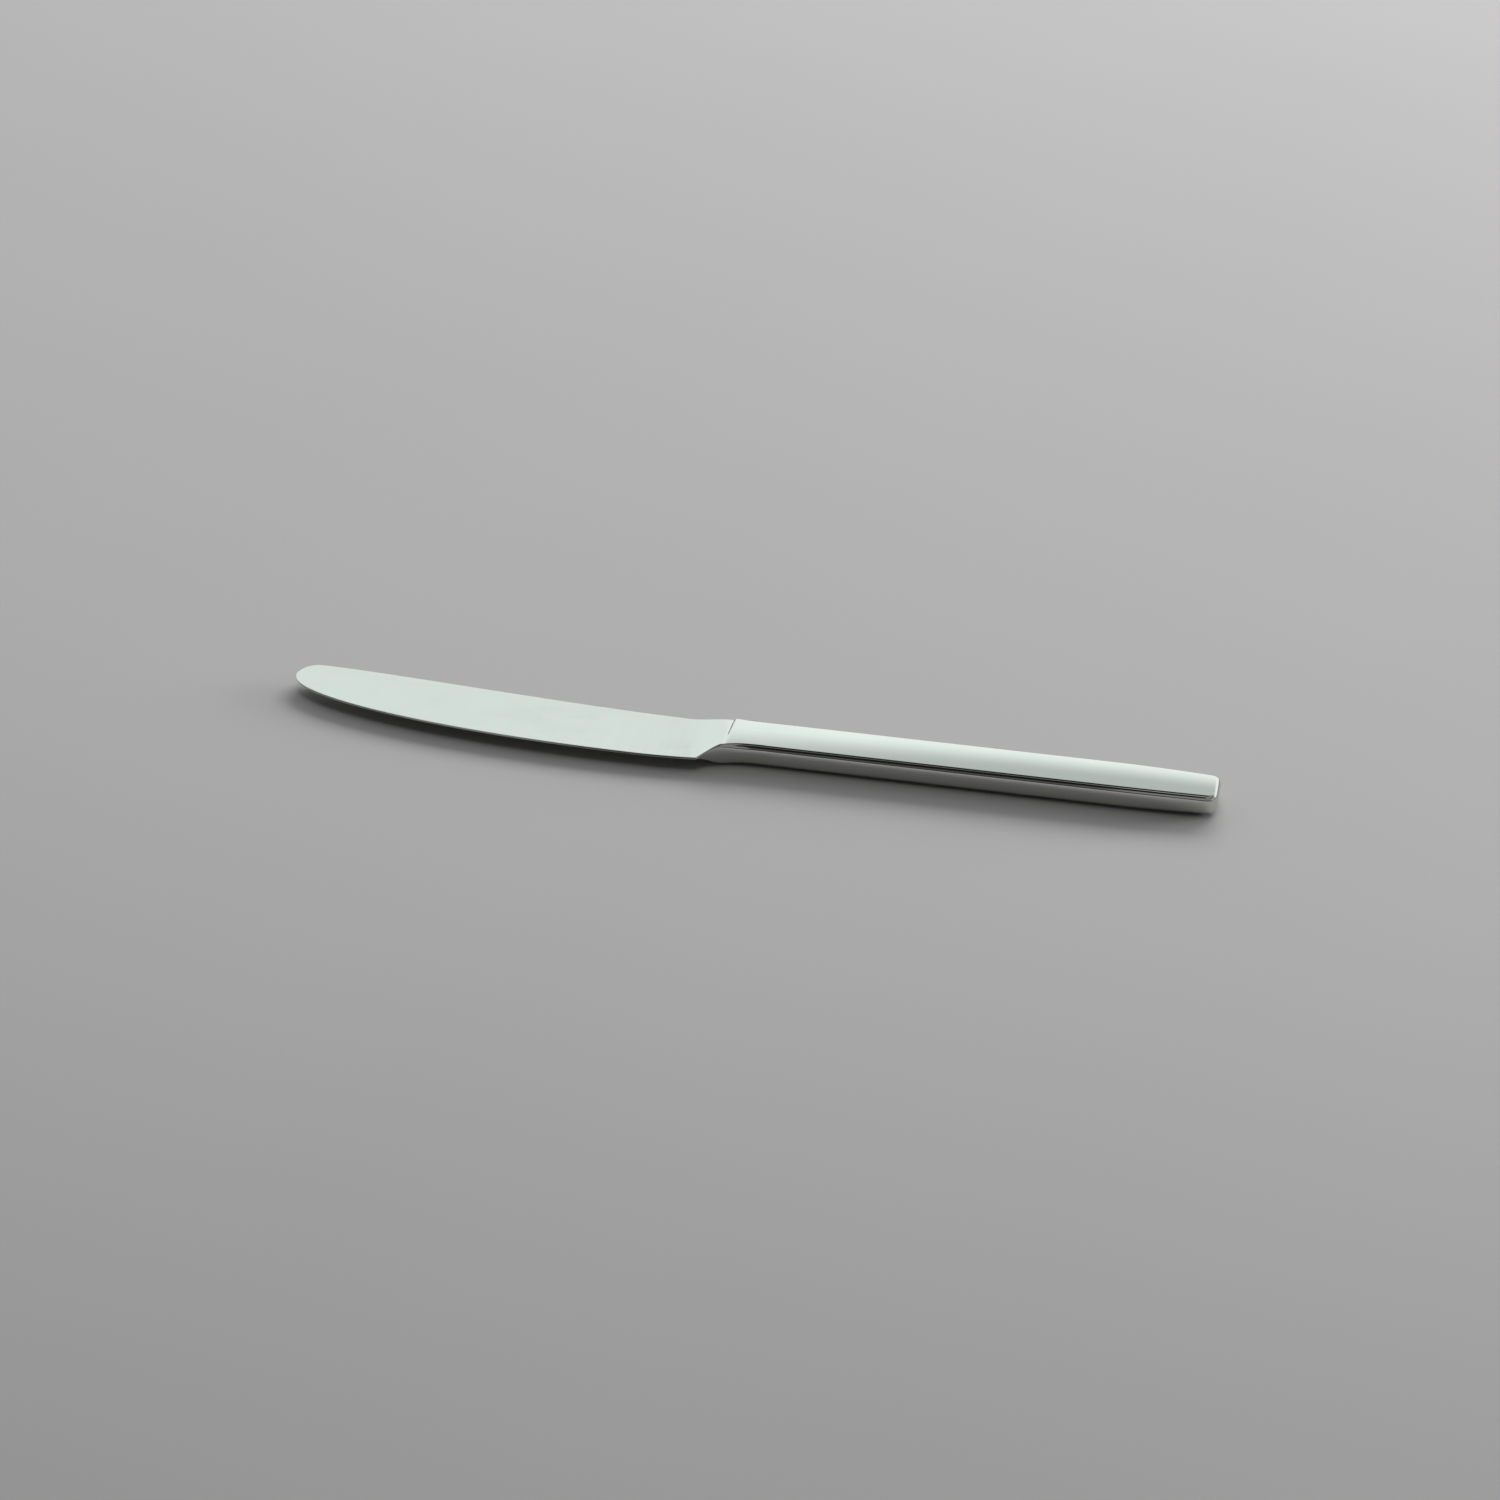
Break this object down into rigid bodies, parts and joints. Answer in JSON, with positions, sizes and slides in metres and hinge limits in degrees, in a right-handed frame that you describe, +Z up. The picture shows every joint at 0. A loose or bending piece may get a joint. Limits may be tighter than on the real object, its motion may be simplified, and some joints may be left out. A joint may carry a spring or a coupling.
{
  "type": "dessert knife",
  "caption": "Stainless dessert knife with a flat upswept blade, rounded nose, concave neck and a straight crowned hollow handle, for cutting soft food at table.",
  "frame": {"origin": "under the middle of the knife's bounding box, on the surface that it lies on", "axes": "+X along the handle's axis from the tip to the butt, +Y towards the back of the blade, +Z up, square to the blade's cheeks"},
  "size_m": [0.205, 0.0212, 0.0053],
  "materials": {
    "blade_steel": "polished",
    "handle_steel": "polished",
    "braze": "polished",
    "cement": "matte",
    "core": "matte"
  },
  "bodies": {
    "root": {"blade": "blade_steel", "handle_shell_upper": "handle_steel", "handle_shell_lower": "handle_steel", "seam_braze": "braze", "neck_braze": "braze", "tang_cement": "cement", "core_fill": "core"}
  },
  "joints": []
}
